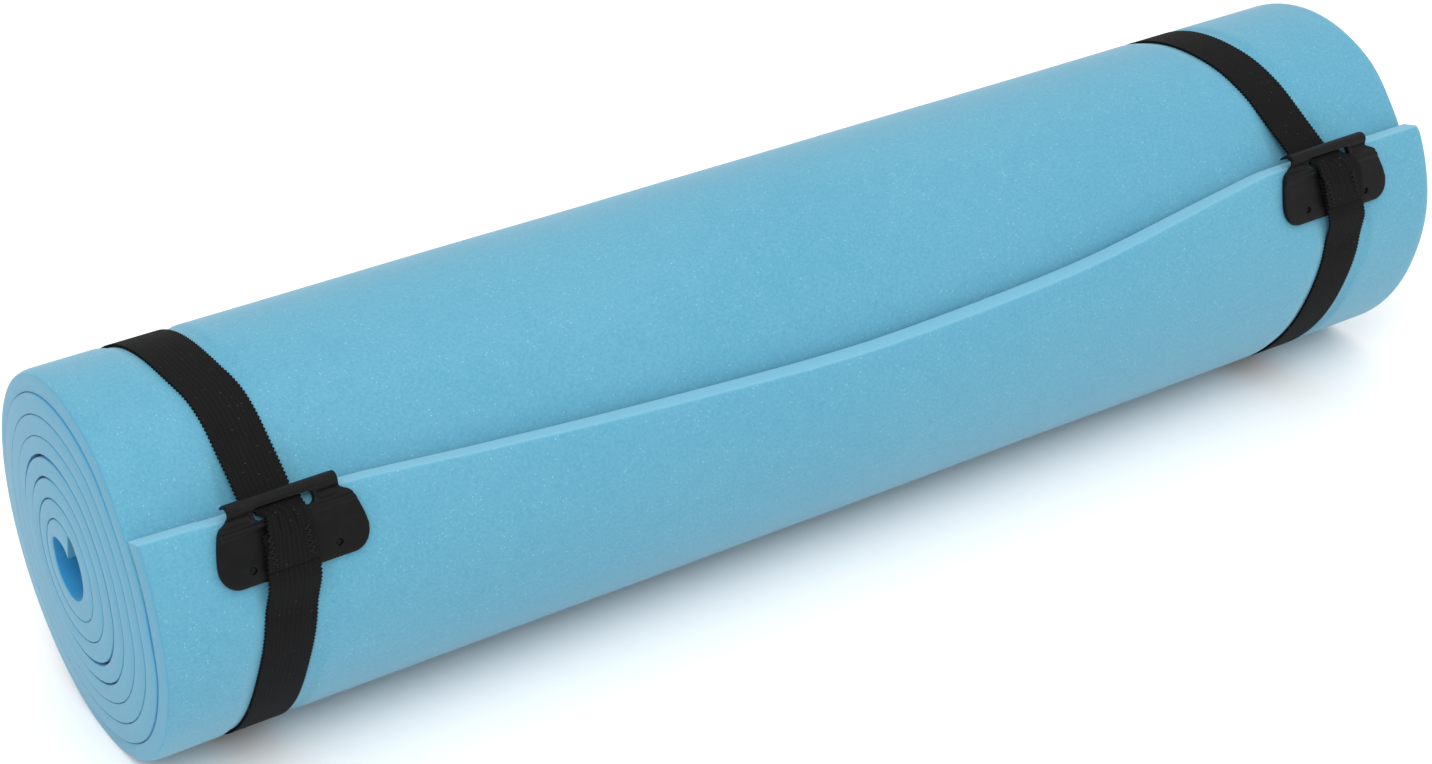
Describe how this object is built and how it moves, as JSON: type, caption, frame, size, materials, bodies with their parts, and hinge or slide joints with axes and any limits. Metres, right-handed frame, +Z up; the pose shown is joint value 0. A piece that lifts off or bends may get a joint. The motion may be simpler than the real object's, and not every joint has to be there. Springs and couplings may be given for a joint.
{
  "type": "foam sleeping pad",
  "caption": "Rolled closed-cell foam sleeping mat held by two elastic straps threaded through moulded edge clips.",
  "frame": {"origin": "on the ground under the roll's axis, on the flattened underside of the roll, midway along the mat's outer turn", "axes": "+X along the roll from the end that its core stands out of, +Z up, the mat's free edge and the clips face -Y"},
  "size_m": [0.5037, 0.126, 0.1219],
  "materials": {
    "foam": "matte",
    "clip_plastic": "satin",
    "elastic": "matte",
    "thread": "matte"
  },
  "bodies": {
    "roll": {"foam_mat": "foam", "near_clip_front": "clip_plastic", "near_clip_back": "clip_plastic", "far_clip_front": "clip_plastic", "far_clip_back": "clip_plastic"},
    "near_loop": {"near_strap": "elastic", "near_stitch_left": "thread", "near_stitch_right": "thread"},
    "far_loop": {"far_strap": "elastic", "far_stitch_left": "thread", "far_stitch_right": "thread"}
  },
  "joints": [
    {"name": "near_strap_slide", "type": "slide", "parent": "roll", "child": "near_loop", "axis": [1, 0, 0], "range_m": [0, 0.003]},
    {"name": "far_strap_slide", "type": "slide", "parent": "roll", "child": "far_loop", "axis": [1, 0, 0], "range_m": [0, 0.003]}
  ]
}
